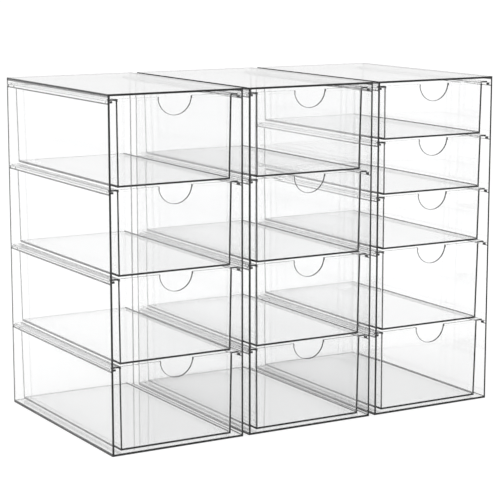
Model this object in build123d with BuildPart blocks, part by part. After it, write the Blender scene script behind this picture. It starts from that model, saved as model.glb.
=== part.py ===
from build123d import *
import os

# Clear stackable storage drawers for craft stamps: three free-standing stacks, side by side.
# Each stack is a pile of open-fronted casings with one drawer in each, closed by a top cover.
# The lowest casing has a floor. The others are open below, over the drawer underneath.
# Millimetres. The origin is under the middle of the row, on the surface it stands on.
# +Z is up, the stacks follow one another along X and the drawers open towards -Y.

os.makedirs("parts", exist_ok=True)

# Row of stacks
unit_width = 170.0
unit_depth = 283.0
tall_pitch = 100.0
short_pitch = tall_pitch * 2 / 3  # three low drawers stand as high as two tall ones
stack_gap = 7.7
stacks = {
    "left": [tall_pitch] * 4,
    "middle": [tall_pitch] * 4,
    "right": [tall_pitch] * 2 + [short_pitch] * 3,
}

# Casing
wall = 2.4
back_wall = 1.6
casing_floor = 2.4
outer_corner_radius = 0.5
floor_edge_radius = 1.0
mouth_edge_radius = 0.3

# Rails along the top of a casing's side walls, that carry the rim of its drawer
rail_reach = 4.5
rail_thickness = 2.4
rail_front_setback = 2.9
rail_root_radius = 1.3
rail_end_radius = 0.3

# Pegs under a casing or cover, that sit in sockets in the wall tops of the casing below
peg_radius = 0.6
peg_height = 1.8
peg_end_inset = 6.0
peg_clearance = 0.2

# Top cover
cover_height = 8.0
cover_plate = 2.4
cover_pocket_radius = 0.8
cover_edge_radius = 0.4

# Drawer
rim_thickness = 1.7
rim_side_gap = 1.0
rim_side_reach = 8.6
rim_corner_radius = 2.2
rim_edge_radius = 0.3
tub_front_setback = 4.6
tub_back_gap = 0.6
tub_wall = 1.8
tub_floor = 2.0
tub_corner_radius = 0.8
tub_inner_corner_radius = 0.6
tub_base_radius = 0.5
tub_inner_base_radius = 0.4
tub_lean = 0.014  # how far each wall leans in, as a share of its height
lip_height = 3.0
lip_reach = 1.0
lip_edge_radius = 0.3
notch_radius = 20.8

# Clearances of a drawer in its casing: it hangs by its rim, well clear of the floor
floor_clearance = 1.4
rail_clearance = 0.3

selection_tolerance = 0.01  # how near a face or an edge lies to the place it is looked for

# Worked out from the sizes above
front_y = -unit_depth / 2
bay_width = unit_width - 2 * wall
bay_depth = unit_depth - back_wall
bay_back_y = front_y + bay_depth
rail_front_y = front_y + rail_front_setback
rail_centre_x = (bay_width - rail_reach) / 2
peg_x = (unit_width - wall) / 2
peg_y = unit_depth / 2 - peg_end_inset
rim_width = bay_width - 2 * rim_side_gap
rim_rise = rail_clearance + rim_thickness  # rim's top above the casing's
tub_width = rim_width - 2 * rim_side_reach
tub_front_y = front_y + tub_front_setback
tub_back_y = bay_back_y - tub_back_gap
tub_length = tub_back_y - tub_front_y
tub_centre_y = (tub_back_y + tub_front_y) / 2
tub_lift = casing_floor + floor_clearance  # tub's underside above the casing's
lip_width = tub_width - 2 * tub_wall
notch_reach = lip_reach + 2 * tub_wall  # through the lip and the leaning front wall


def level(centre_x, centre_y, height):
    """Horizontal plane facing up."""
    return Plane((centre_x, centre_y, height))


def underside(centre_x, centre_y, height):
    """Horizontal plane facing down."""
    return Plane((centre_x, centre_y, height), x_dir=(1, 0, 0), z_dir=(0, 0, -1))


def between(shapes, axis, low, high):
    """The faces or edges whose centre lies between two positions along an axis, or at one."""
    return shapes.filter_by_position(axis, low - selection_tolerance, high + selection_tolerance)


def near(shapes, axis, position):
    """The faces or edges whose centre lies at a position along an axis."""
    return between(shapes, axis, position, position)


def peg_circles(centre_x, height, radius):
    """The four places of the pegs, one near each end of each side wall, facing down."""
    with BuildSketch(underside(centre_x, 0, height)) as circles:
        with GridLocations(2 * peg_x, 2 * peg_y, 2, 2):
            Circle(radius)
    return circles.sketch


def make_casing(centre_x, base_z, pitch, is_lowest):
    """Side walls with a rail along the top of each, and a back. Only the lowest has a floor."""
    top_z = base_z + pitch
    floor_z = base_z + casing_floor if is_lowest else base_z
    with BuildPart() as casing:
        with BuildSketch(level(centre_x, 0, base_z)):
            RectangleRounded(unit_width, unit_depth, outer_corner_radius)
        extrude(amount=pitch)
        with BuildSketch(level(centre_x, front_y, floor_z)):
            Rectangle(bay_width, bay_depth, align=(Align.CENTER, Align.MIN))
        extrude(amount=top_z - floor_z, mode=Mode.SUBTRACT)

        if is_lowest:
            floor_edges = near(casing.faces(), Axis.Z, floor_z).edges()
            fillet(floor_edges.sort_by(Axis.Y)[1:], floor_edge_radius)
        front_edges = casing.faces().filter_by(Plane.XZ).group_by(Axis.Y)[0].edges()
        mouth_edges = between(front_edges, Axis.X, centre_x - bay_width / 2, centre_x + bay_width / 2)
        fillet(mouth_edges.filter_by(Axis.Z), mouth_edge_radius)

        rail_length = bay_back_y - rail_front_y
        with BuildSketch(level(centre_x, rail_front_y + rail_length / 2, top_z - rail_thickness)):
            with GridLocations(2 * rail_centre_x, 0, 2, 1):
                Rectangle(rail_reach, rail_length)
        extrude(amount=rail_thickness)
        rail_roots = near(casing.edges().filter_by(Axis.Y), Axis.Z, top_z - rail_thickness)
        inner_wall_x = bay_width / 2
        for side_x in (centre_x - inner_wall_x, centre_x + inner_wall_x):
            fillet(near(rail_roots, Axis.X, side_x), rail_root_radius)
        rail_fronts = near(casing.faces().filter_by(Plane.XZ), Axis.Y, rail_front_y)
        fillet(rail_fronts.edges().filter_by(Axis.Z), rail_end_radius)

        sockets = peg_circles(centre_x, top_z, peg_radius + peg_clearance)
        extrude(sockets, amount=peg_height + peg_clearance, mode=Mode.SUBTRACT)
        if not is_lowest:
            extrude(peg_circles(centre_x, base_z, peg_radius), amount=peg_height)
    return casing.part


def make_drawer(centre_x, base_z, pitch):
    """Drafted tub, hung by its rim over the casing's rails, with a half-round finger notch in front."""
    rim_top_z = base_z + pitch + rim_rise
    tub_height = rim_top_z - base_z - tub_lift
    with BuildPart() as drawer:
        with BuildSketch(underside(centre_x, tub_centre_y, rim_top_z)):
            RectangleRounded(rim_width, tub_length, rim_corner_radius)
        extrude(amount=rim_thickness)
        fillet(drawer.faces().filter_by(Plane.XY).edges(), rim_edge_radius)

        lean = tub_lean * tub_height
        with BuildSketch(level(centre_x, tub_centre_y, rim_top_z)):
            RectangleRounded(tub_width, tub_length, tub_corner_radius)
        with BuildSketch(level(centre_x, tub_centre_y, rim_top_z - tub_height)):
            RectangleRounded(tub_width - 2 * lean, tub_length - 2 * lean, tub_corner_radius)
        loft(ruled=True)
        fillet(drawer.faces().sort_by(Axis.Z)[0].edges(), tub_base_radius)

        with BuildSketch(underside(centre_x, tub_front_y + tub_wall / 2, rim_top_z)):
            Rectangle(lip_width, tub_wall + 2 * lip_reach)
        extrude(amount=lip_height)
        lip_front = drawer.faces().filter_by(Plane.XZ).sort_by(Axis.Y)[0]
        fillet(lip_front.edges(), lip_edge_radius)

        tub_floor_z = base_z + tub_lift + tub_floor
        inner_width = tub_width - 2 * tub_wall
        inner_length = tub_length - 2 * tub_wall
        lean = tub_lean * (rim_top_z - tub_floor_z)
        with BuildSketch(level(centre_x, tub_centre_y, rim_top_z)):
            RectangleRounded(inner_width, inner_length, tub_inner_corner_radius)
        with BuildSketch(level(centre_x, tub_centre_y, tub_floor_z)):
            RectangleRounded(inner_width - 2 * lean, inner_length - 2 * lean, tub_inner_corner_radius)
        loft(ruled=True, mode=Mode.SUBTRACT)
        fillet(near(drawer.faces(), Axis.Z, tub_floor_z).edges(), tub_inner_base_radius)

        notch_plane = Plane((centre_x, tub_front_y - lip_reach, rim_top_z), x_dir=(1, 0, 0), z_dir=(0, -1, 0))
        with BuildSketch(notch_plane):
            Circle(notch_radius)
        extrude(amount=-notch_reach, mode=Mode.SUBTRACT)
    return drawer.part


def make_cover(centre_x, base_z):
    """Lid with a skirt at the sides and the back, open at the front, that closes the uppermost casing."""
    pocket_z = base_z + cover_height - cover_plate
    with BuildPart() as cover:
        with BuildSketch(level(centre_x, 0, base_z)):
            RectangleRounded(unit_width, unit_depth, outer_corner_radius)
        extrude(amount=cover_height)
        fillet(cover.faces().sort_by(Axis.Z)[-1].edges(), cover_edge_radius)
        with BuildSketch(level(centre_x, front_y, base_z)):
            Rectangle(bay_width, bay_depth, align=(Align.CENTER, Align.MIN))
        extrude(amount=cover_height - cover_plate, mode=Mode.SUBTRACT)
        pocket_edges = near(cover.faces(), Axis.Z, pocket_z).edges()
        fillet(pocket_edges.sort_by(Axis.Y)[1:], cover_pocket_radius)
        extrude(peg_circles(centre_x, base_z, peg_radius), amount=peg_height)
    return cover.part


def write(piece, node):
    piece.label = node
    export_step(piece, f"parts/{node}.step")


def build_stack(name, centre_x, pitches):
    """Casings and drawers are numbered upwards from 1, the lowest."""
    base_z = 0.0
    for number, pitch in enumerate(pitches, start=1):
        write(make_casing(centre_x, base_z, pitch, number == 1), f"{name}_casing_{number}")
        write(make_drawer(centre_x, base_z, pitch), f"{name}_drawer_{number}")
        base_z += pitch
    write(make_cover(centre_x, base_z), f"{name}_cover")


stack_step = unit_width + stack_gap
first_centre_x = -stack_step * (len(stacks) - 1) / 2
for place, (name, pitches) in enumerate(stacks.items()):
    build_stack(name, first_centre_x + place * stack_step, pitches)
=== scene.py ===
import math
from typing import NamedTuple

import bmesh
import bpy
from mathutils import Matrix, Vector


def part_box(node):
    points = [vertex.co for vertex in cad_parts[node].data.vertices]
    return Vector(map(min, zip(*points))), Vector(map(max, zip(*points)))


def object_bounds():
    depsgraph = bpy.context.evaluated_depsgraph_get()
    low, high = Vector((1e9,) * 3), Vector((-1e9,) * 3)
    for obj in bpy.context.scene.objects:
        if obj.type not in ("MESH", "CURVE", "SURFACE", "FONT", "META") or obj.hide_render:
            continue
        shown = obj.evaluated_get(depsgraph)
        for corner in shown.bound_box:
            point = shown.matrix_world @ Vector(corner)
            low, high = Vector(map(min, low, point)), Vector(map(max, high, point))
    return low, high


bl_info = {
    "name": "Stamp Drawer Stacks",
    "version": (1, 0, 0),
    "blender": (4, 5, 0),
    "location": "3D View > Sidebar > Drawers",
    "description": "Finishes clear stacking drawers for stamps and sets them in a pale studio",
    "category": "Object",
}

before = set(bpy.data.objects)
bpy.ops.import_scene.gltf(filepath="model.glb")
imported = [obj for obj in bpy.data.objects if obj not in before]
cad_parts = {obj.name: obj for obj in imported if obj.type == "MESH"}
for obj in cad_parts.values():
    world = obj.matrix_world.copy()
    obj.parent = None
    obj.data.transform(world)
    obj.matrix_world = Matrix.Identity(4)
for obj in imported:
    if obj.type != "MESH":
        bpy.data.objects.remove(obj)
cad_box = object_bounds()

PANEL_TAB = "Drawers"
ROW_MIDDLE = (Vector(cad_box[0]) + Vector(cad_box[1])) / 2


def names_with(word):
    """The pieces of the frame whose name holds a word, such as all casings."""
    found = [name for name in sorted(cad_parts) if word in name]
    if not found:
        raise RuntimeError(f"the frame has no {word}")
    return found


# Nodes

WHITE = (1.0, 1.0, 1.0, 1.0)


def opaque(color, share=1.0):
    """A colour as a socket takes it, or a darker share of it."""
    return (*[part * share for part in color], 1.0)


def feed(tree, socket, source):
    """Gives an input what another node puts out, or a plain value."""
    if isinstance(source, bpy.types.NodeSocket):
        tree.links.new(source, socket)
    else:
        socket.default_value = source


def step_of(tree, kind, operation, sources):
    """The outputs of a new arithmetic node."""
    step = tree.nodes.new(kind)
    step.operation = operation
    for socket, source in zip(step.inputs, sources):
        feed(tree, socket, source)
    return step.outputs


def math_of(tree, operation, *sources):
    """Arithmetic on numbers."""
    return step_of(tree, "ShaderNodeMath", operation, sources)["Value"]


def any_of(tree, masks):
    """One where at least one of the masks is one."""
    total = masks[0]
    for mask in masks[1:]:
        total = math_of(tree, "MAXIMUM", total, mask)
    return total


def parts_of(tree, place):
    """The X, Y and Z of a place or a direction."""
    split = tree.nodes.new("ShaderNodeSeparateXYZ")
    tree.links.new(place, split.inputs["Vector"])
    return [split.outputs[axis] for axis in "XYZ"]


def mapped(tree, value, from_ends, to_ends):
    """A value taken from one range to another, and held within it."""
    step = tree.nodes.new("ShaderNodeMapRange")
    names = ("Value", "From Min", "From Max", "To Min", "To Max")
    for name, source in zip(names, (value, *from_ends, *to_ends)):
        feed(tree, step.inputs[name], source)
    return step.outputs["Result"]


def mixed(tree, share, first, second):
    """A colour on its way from a first to a second."""
    mix = tree.nodes.new("ShaderNodeMix")
    mix.data_type = "RGBA"
    feed(tree, mix.inputs["Factor"], share)
    colors = [socket for socket in mix.inputs if socket.type == "RGBA"]
    for socket, source in zip(colors, (first, second)):
        feed(tree, socket, source)
    return next(socket for socket in mix.outputs if socket.type == "RGBA")


def noise_at(tree, place, feature_size, detail):
    """Noise with features of a size in metres."""
    noise = tree.nodes.new("ShaderNodeTexNoise")
    noise.inputs["Scale"].default_value = 1.0 / feature_size
    noise.inputs["Detail"].default_value = detail
    tree.links.new(place, noise.inputs["Vector"])
    return noise.outputs["Fac"]


# Painted shade along the moulded edges: dark lines put into the plastic's colour, which stay fixed
# to their piece. All sizes are in metres.


class EdgeShape(NamedTuple):
    """Where the edges of a kind of piece lie, along which shade is painted as dark lines."""

    half_width: float  # of the box that the side walls make, at the top of the piece
    wall: float  # just under the walls' thickness, so that their inner faces stay clear
    lean: float  # how far the walls lean in for each metre down
    front_depth: float
    back_depth: float  # less than nothing where the back ends stay clear
    seam_drop: float  # how far the seam with the rail or the rim lies under the top
    seam_reach: float
    seam_side: float  # the seam's distance from the middle
    foot_height: float  # of the painted shade line along the bottom of a side wall
    sheet_height: float | None  # middle of a floor or a top plate
    sheet_reach: float  # just under half its thickness
    has_notch: bool


CASING_SHAPE = EdgeShape(
    half_width=0.085,
    wall=0.0023,
    lean=0.0,
    front_depth=0.0006,
    back_depth=0.0025,
    seam_drop=0.0032,
    seam_reach=0.0006,
    seam_side=0.0819,
    foot_height=0.0,
    sheet_height=None,
    sheet_reach=0.0011,
    has_notch=False,
)
DRAWER_SHAPE = EdgeShape(
    half_width=0.0730,
    wall=0.00175,
    lean=0.014,
    front_depth=0.0016,
    back_depth=-0.001,
    seam_drop=0.0021,
    seam_reach=0.0005,
    seam_side=0.0730,
    foot_height=0.0028,
    sheet_height=None,
    sheet_reach=0.0009,
    has_notch=True,
)
SEAM_SIDE_REACH = 0.0008
NOTCH_RADIUS = 0.0208
NOTCH_REACH = 0.0005
NOTCH_FRONT_DEPTH = 0.005
CASING_FLOOR = 0.0024
DRAWER_FLOOR = 0.002
COVER_PLATE = 0.0024
UPRIGHT = (1.0, 0.0, 1.0)  # keeps X and Z


def side_lines(tree, place, box, shape):
    """One on the ends and the foot of a piece's side walls, and along their seam."""
    low, high = box
    x, y, z = parts_of(tree, place)
    drop = math_of(tree, "SUBTRACT", high.z, z)
    lean = math_of(tree, "MULTIPLY", drop, shape.lean)
    off_middle = math_of(tree, "SUBTRACT", x, (low.x + high.x) / 2)
    sideways = math_of(tree, "ADD", math_of(tree, "ABSOLUTE", off_middle), lean)
    at_side = math_of(tree, "GREATER_THAN", sideways, shape.half_width - shape.wall)

    forward = math_of(tree, "SUBTRACT", y, lean)
    at_front = math_of(tree, "LESS_THAN", forward, low.y + shape.front_depth)
    backward = math_of(tree, "ADD", y, lean)
    at_back = math_of(tree, "GREATER_THAN", backward, high.y - shape.back_depth)
    at_foot = math_of(tree, "LESS_THAN", z, low.z + shape.foot_height)
    at_end = any_of(tree, [at_front, at_back, at_foot])
    wall_end = math_of(tree, "MULTIPLY", at_side, at_end)

    seam_height = math_of(tree, "COMPARE", drop, shape.seam_drop, shape.seam_reach)
    seam_side = math_of(tree, "COMPARE", sideways, shape.seam_side, SEAM_SIDE_REACH)
    seam = math_of(tree, "MULTIPLY", seam_height, seam_side)
    return any_of(tree, [wall_end, seam])


def notch_edge(tree, place, box):
    """One around the finger notch of a drawer."""
    low, high = box
    _, y, _ = parts_of(tree, place)
    in_front = math_of(tree, "LESS_THAN", y, low.y + NOTCH_FRONT_DEPTH)
    flat = step_of(tree, "ShaderNodeVectorMath", "MULTIPLY", [place, UPRIGHT])["Vector"]
    middle = ((low.x + high.x) / 2, 0.0, high.z)
    radius = step_of(tree, "ShaderNodeVectorMath", "DISTANCE", [flat, middle])["Value"]
    at_rim = math_of(tree, "COMPARE", radius, NOTCH_RADIUS, NOTCH_REACH)
    return math_of(tree, "MULTIPLY", at_rim, in_front)


def painted_edge_shade(tree, place, box, shape):
    """One along the edges of a piece, where shade is painted into the plastic's colour as dark
    lines.
    """
    masks = [side_lines(tree, place, box, shape)]
    if shape.sheet_height is not None:
        _, _, z = parts_of(tree, place)
        masks.append(math_of(tree, "COMPARE", z, shape.sheet_height, shape.sheet_reach))
    if shape.has_notch:
        masks.append(notch_edge(tree, place, box))
    return any_of(tree, masks)


# Clear plastic

PLASTIC_IOR = 1.49
CLOUD_SIZE = 0.15
CLOUD_DETAIL = 3.0
SMEAR_SIZE = 0.03
SMEAR_DETAIL = 5.0
SMEAR_START = 0.5
SMEAR_FULL = 0.8
WAVE_DETAIL = 0.0


class ClearPlastic(bpy.types.PropertyGroup):
    """How clear moulded plastic lets light through, and how dark the shade painted along its edges
    is.
    """

    tint: bpy.props.FloatVectorProperty(
        name="Tint",
        description="Colour that a sheet gives to the light that passes through it",
        subtype="COLOR",
        size=3,
        min=0.0,
        max=1.0,
        default=(0.999, 0.9995, 1.0),
    )
    tint_variation: bpy.props.FloatProperty(
        name="Tint Variation",
        description="How much duller the tint is where the plastic is cloudiest",
        subtype="FACTOR",
        min=0.0,
        max=0.2,
        default=0.003,
    )
    depth_color: bpy.props.FloatVectorProperty(
        name="Depth Colour",
        description="Colour that light keeps on its way along the inside of a sheet",
        subtype="COLOR",
        size=3,
        min=0.0,
        max=1.0,
        default=(0.20, 0.21, 0.215),
    )
    depth_density: bpy.props.FloatProperty(
        name="Depth Density",
        description="How soon that colour takes over, per metre of plastic",
        min=0.0,
        max=100.0,
        default=8.5,
    )
    # Painted shade: the share of the tint that the edges keep, where dark lines are painted along
    # them.
    edge_shade_share: bpy.props.FloatProperty(
        name="Edge Tint",
        description="Share of the tint kept where shade is painted along the moulded edges",
        subtype="FACTOR",
        min=0.0,
        max=1.0,
        default=0.03,
    )
    smoothest: bpy.props.FloatProperty(
        name="Least Roughness",
        description="Roughness where the polish is best",
        subtype="FACTOR",
        min=0.0,
        max=1.0,
        default=0.0,
    )
    roughest: bpy.props.FloatProperty(
        name="Most Roughness",
        description="Roughness where handling has dulled the polish",
        subtype="FACTOR",
        min=0.0,
        max=1.0,
        default=0.008,
    )
    waviness: bpy.props.FloatProperty(
        name="Waviness",
        description="Depth of the slow waves that moulding leaves in a sheet",
        subtype="DISTANCE",
        unit="LENGTH",
        min=0.0,
        max=0.001,
        default=0.000004,
        precision=7,
    )
    wave_length: bpy.props.FloatProperty(
        name="Wave Length",
        description="Distance from one of those waves to the next",
        subtype="DISTANCE",
        unit="LENGTH",
        min=0.001,
        max=1.0,
        default=0.06,
    )


def clear_plastic(name, look, box, shape):
    """Clear plastic that is nearly colourless face on, with shade painted as dark lines along its
    piece's edges.
    """
    material = bpy.data.materials.new(name)
    material.use_nodes = True
    tree = material.node_tree
    shader = tree.nodes["Principled BSDF"]
    shader.inputs["Transmission Weight"].default_value = 1.0
    shader.inputs["IOR"].default_value = PLASTIC_IOR
    place = tree.nodes.new("ShaderNodeTexCoord").outputs["Object"]

    clouds = noise_at(tree, place, CLOUD_SIZE, CLOUD_DETAIL)
    dull = opaque(look.tint, 1.0 - look.tint_variation)
    face = mixed(tree, clouds, opaque(look.tint), dull)
    edges = painted_edge_shade(tree, place, box, shape)
    # Painted shade: under the edge mask the base colour drops to a small share of the tint, which
    # draws dark lines along the edges.
    color = mixed(tree, edges, face, opaque(look.tint, look.edge_shade_share))
    tree.links.new(color, shader.inputs["Base Color"])

    smears = noise_at(tree, place, SMEAR_SIZE, SMEAR_DETAIL)
    polish = mapped(tree, smears, (SMEAR_START, SMEAR_FULL), (look.smoothest, look.roughest))
    tree.links.new(polish, shader.inputs["Roughness"])

    waves = noise_at(tree, place, look.wave_length, WAVE_DETAIL)
    bump = tree.nodes.new("ShaderNodeBump")
    bump.inputs["Distance"].default_value = look.waviness
    tree.links.new(waves, bump.inputs["Height"])
    tree.links.new(bump.outputs["Normal"], shader.inputs["Normal"])

    depth = tree.nodes.new("ShaderNodeVolumeAbsorption")
    depth.inputs["Color"].default_value = opaque(look.depth_color)
    depth.inputs["Density"].default_value = look.depth_density
    tree.links.new(depth.outputs["Volume"], tree.nodes["Material Output"].inputs["Volume"])
    return material


def finish_piece(name, look, shape):
    """Gives a piece clear plastic of its own, on every slot that it has."""
    material = clear_plastic(f"{name}_plastic", look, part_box(name), shape)
    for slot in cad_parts[name].material_slots:
        slot.material = material


class DRAWERS_OT_casings(bpy.types.Operator):
    """Finish the casings in clear plastic"""

    bl_idname = "drawers.casings"
    bl_label = "Casings"

    def execute(self, context):
        for name in names_with("casing"):
            shape = CASING_SHAPE
            if name.endswith("_1"):  # only the lowest has a floor
                low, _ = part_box(name)
                shape = shape._replace(sheet_height=low.z + CASING_FLOOR / 2)
            finish_piece(name, context.scene.drawers_casing, shape)
        return {"FINISHED"}


class DRAWERS_OT_drawers(bpy.types.Operator):
    """Finish the drawers in clear plastic"""

    bl_idname = "drawers.drawers"
    bl_label = "Drawers"

    def execute(self, context):
        for name in names_with("drawer"):
            low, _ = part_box(name)
            shape = DRAWER_SHAPE._replace(sheet_height=low.z + DRAWER_FLOOR / 2)
            finish_piece(name, context.scene.drawers_drawer, shape)
        return {"FINISHED"}


class DRAWERS_OT_covers(bpy.types.Operator):
    """Finish the top covers in clear plastic"""

    bl_idname = "drawers.covers"
    bl_label = "Top Covers"

    def execute(self, context):
        for name in names_with("cover"):
            _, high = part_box(name)
            shape = CASING_SHAPE._replace(sheet_height=high.z - COVER_PLATE / 2)
            finish_piece(name, context.scene.drawers_cover, shape)
        return {"FINISHED"}


# Studio

FLOOR_SIDES = 96
SKY_PALE_FROM = 0.6
LAMP_PLACE = Vector((-0.8, -0.9, 2.4))
SENSOR_WIDTH = 36.0
CLEAR_BOUNCES = 48


class Studio(bpy.types.PropertyGroup):
    """The floor, the light and the camera."""

    floor_radius: bpy.props.FloatProperty(
        name="Floor Radius",
        description="Radius of the round floor",
        subtype="DISTANCE",
        unit="LENGTH",
        min=1.0,
        default=30.0,
    )
    floor_color: bpy.props.FloatVectorProperty(
        name="Floor Colour",
        description="Colour of the floor",
        subtype="COLOR",
        size=3,
        min=0.0,
        max=1.0,
        default=(0.40, 0.40, 0.40),
    )
    floor_drop: bpy.props.FloatProperty(
        name="Floor Drop",
        description="How far the floor lies below the stacks, whose undersides then still mirror",
        subtype="DISTANCE",
        unit="LENGTH",
        min=0.0,
        max=0.01,
        default=0.0004,
        precision=5,
    )
    floor_lift: bpy.props.FloatProperty(
        name="Floor Lift",
        description="How much paler the floor looks, without lighting the object",
        min=0.0,
        max=1.0,
        default=0.74,
    )
    sky_strength: bpy.props.FloatProperty(
        name="Sky Strength",
        description="Light from all around",
        min=0.0,
        default=0.85,
    )
    horizon_grey: bpy.props.FloatProperty(
        name="Horizon Grey",
        description="How much greyer the surroundings look low down than overhead",
        subtype="FACTOR",
        min=0.0,
        max=1.0,
        default=0.10,
    )
    lamp_power: bpy.props.FloatProperty(
        name="Lamp Power",
        description="Power of the soft lamp overhead",
        subtype="POWER",
        unit="POWER",
        min=0.0,
        default=20.0,
    )
    lamp_size: bpy.props.FloatProperty(
        name="Lamp Size",
        description="Side of the square soft lamp",
        subtype="DISTANCE",
        unit="LENGTH",
        min=0.1,
        default=2.5,
    )
    camera_place: bpy.props.FloatVectorProperty(
        name="Camera Place",
        description="Where the camera stands",
        subtype="TRANSLATION",
        unit="LENGTH",
        size=3,
        default=(-1.1014, -1.8822, 0.5707),
    )
    camera_turn: bpy.props.FloatVectorProperty(
        name="Camera Turn",
        description="How the camera is turned",
        subtype="EULER",
        unit="ROTATION",
        size=3,
        default=(math.radians(80.1553), 0.0, math.radians(-30.3115)),
    )
    camera_lens: bpy.props.FloatProperty(
        name="Camera Lens",
        description="Focal length of the camera in millimetres",
        min=1.0,
        default=127.72,
    )


def seen_or_mirrored(tree):
    """One for rays from the camera, off gloss or through clear plastic, and nothing for others."""
    light_path = tree.nodes.new("ShaderNodeLightPath")
    kinds = ("Is Camera Ray", "Is Glossy Ray", "Is Transmission Ray")
    return any_of(tree, [light_path.outputs[kind] for kind in kinds])


def floor_material(studio):
    """Pale matt floor, which looks white but keeps the object's shadow."""
    material = bpy.data.materials.new("studio_floor")
    material.use_nodes = True
    tree = material.node_tree
    tree.nodes.remove(tree.nodes["Principled BSDF"])
    matt = tree.nodes.new("ShaderNodeBsdfDiffuse")
    matt.inputs["Color"].default_value = opaque(studio.floor_color)
    lift = tree.nodes.new("ShaderNodeEmission")
    lift.inputs["Color"].default_value = WHITE
    strength = math_of(tree, "MULTIPLY", seen_or_mirrored(tree), studio.floor_lift)
    tree.links.new(strength, lift.inputs["Strength"])
    both = tree.nodes.new("ShaderNodeAddShader")
    tree.links.new(matt.outputs["BSDF"], both.inputs[0])
    tree.links.new(lift.outputs["Emission"], both.inputs[1])
    tree.links.new(both.outputs["Shader"], tree.nodes["Material Output"].inputs["Surface"])
    return material


def add_floor(studio):
    """Round floor under the stacks."""
    shape = bmesh.new()
    bmesh.ops.create_circle(
        shape,
        cap_ends=True,
        segments=FLOOR_SIDES,
        radius=studio.floor_radius,
        matrix=Matrix.Translation((0.0, 0.0, -studio.floor_drop)),
    )
    mesh = bpy.data.meshes.new("studio_floor")
    shape.to_mesh(mesh)
    shape.free()
    mesh.materials.append(floor_material(studio))
    floor = bpy.data.objects.new("studio_floor", mesh)
    bpy.context.collection.objects.link(floor)


def add_sky(scene, studio):
    """Pale surroundings to look at, with their own plain level of light."""
    world = bpy.data.worlds.new("studio_sky")
    world.use_nodes = True
    scene.world = world
    tree = world.node_tree
    background = tree.nodes["Background"]
    background.inputs["Color"].default_value = WHITE
    direction = tree.nodes.new("ShaderNodeTexCoord").outputs["Generated"]
    _, _, height = parts_of(tree, direction)
    seen = mapped(tree, height, (0.0, SKY_PALE_FROM), (1.0 - studio.horizon_grey, 1.0))
    level = mapped(tree, seen_or_mirrored(tree), (0.0, 1.0), (studio.sky_strength, seen))
    tree.links.new(level, background.inputs["Strength"])


def add_lamp(studio):
    """Soft square lamp, above and in front of the stacks on the left."""
    light = bpy.data.lights.new("studio_lamp", "AREA")
    light.shape = "SQUARE"
    light.size = studio.lamp_size
    light.energy = studio.lamp_power
    lamp = bpy.data.objects.new("studio_lamp", light)
    aim = (ROW_MIDDLE - LAMP_PLACE).to_track_quat("-Z", "Y")
    lamp.matrix_world = Matrix.Translation(LAMP_PLACE) @ aim.to_matrix().to_4x4()
    bpy.context.collection.objects.link(lamp)


def add_camera(scene, studio):
    """Camera to the left in front of the row, looking slightly down."""
    data = bpy.data.cameras.new("studio_camera")
    data.sensor_width = SENSOR_WIDTH
    data.lens = studio.camera_lens
    camera = bpy.data.objects.new("studio_camera", data)
    camera.location = studio.camera_place
    camera.rotation_euler = studio.camera_turn
    bpy.context.collection.objects.link(camera)
    scene.camera = camera


def let_light_through(scene):
    """Enough bounces for light to get through many sheets one behind another."""
    scene.cycles.max_bounces = CLEAR_BOUNCES
    scene.cycles.transmission_bounces = CLEAR_BOUNCES
    scene.cycles.glossy_bounces = CLEAR_BOUNCES
    scene.cycles.transparent_max_bounces = CLEAR_BOUNCES


class DRAWERS_OT_studio(bpy.types.Operator):
    """Set up the floor, the light and the camera"""

    bl_idname = "drawers.studio"
    bl_label = "Studio"

    def execute(self, context):
        studio = context.scene.drawers_studio
        add_floor(studio)
        add_sky(context.scene, studio)
        add_lamp(studio)
        add_camera(context.scene, studio)
        let_light_through(context.scene)
        context.scene.view_settings.view_transform = "Standard"
        return {"FINISHED"}


# Sidebar and start


class DRAWERS_PT_sidebar(bpy.types.Panel):
    """Buttons for the stacks of drawers"""

    bl_idname = "DRAWERS_PT_sidebar"
    bl_label = "Stamp Drawer Stacks"
    bl_space_type = "VIEW_3D"
    bl_region_type = "UI"
    bl_category = PANEL_TAB

    def draw(self, context):
        for operator in OPERATORS:
            self.layout.operator(operator.bl_idname)


OPERATORS = (DRAWERS_OT_casings, DRAWERS_OT_drawers, DRAWERS_OT_covers, DRAWERS_OT_studio)
CLASSES = (ClearPlastic, Studio, *OPERATORS, DRAWERS_PT_sidebar)
SETTINGS = {
    "drawers_casing": ClearPlastic,
    "drawers_drawer": ClearPlastic,
    "drawers_cover": ClearPlastic,
    "drawers_studio": Studio,
}


def register():
    for piece in CLASSES:
        bpy.utils.register_class(piece)
    for name, group in SETTINGS.items():
        setattr(bpy.types.Scene, name, bpy.props.PointerProperty(type=group))


def unregister():
    for name in SETTINGS:
        delattr(bpy.types.Scene, name)
    for piece in reversed(CLASSES):
        bpy.utils.unregister_class(piece)


def main():
    register()
    bpy.ops.drawers.casings()
    bpy.ops.drawers.drawers()
    bpy.ops.drawers.covers()
    bpy.ops.drawers.studio()


if __name__ == "__main__":
    main()
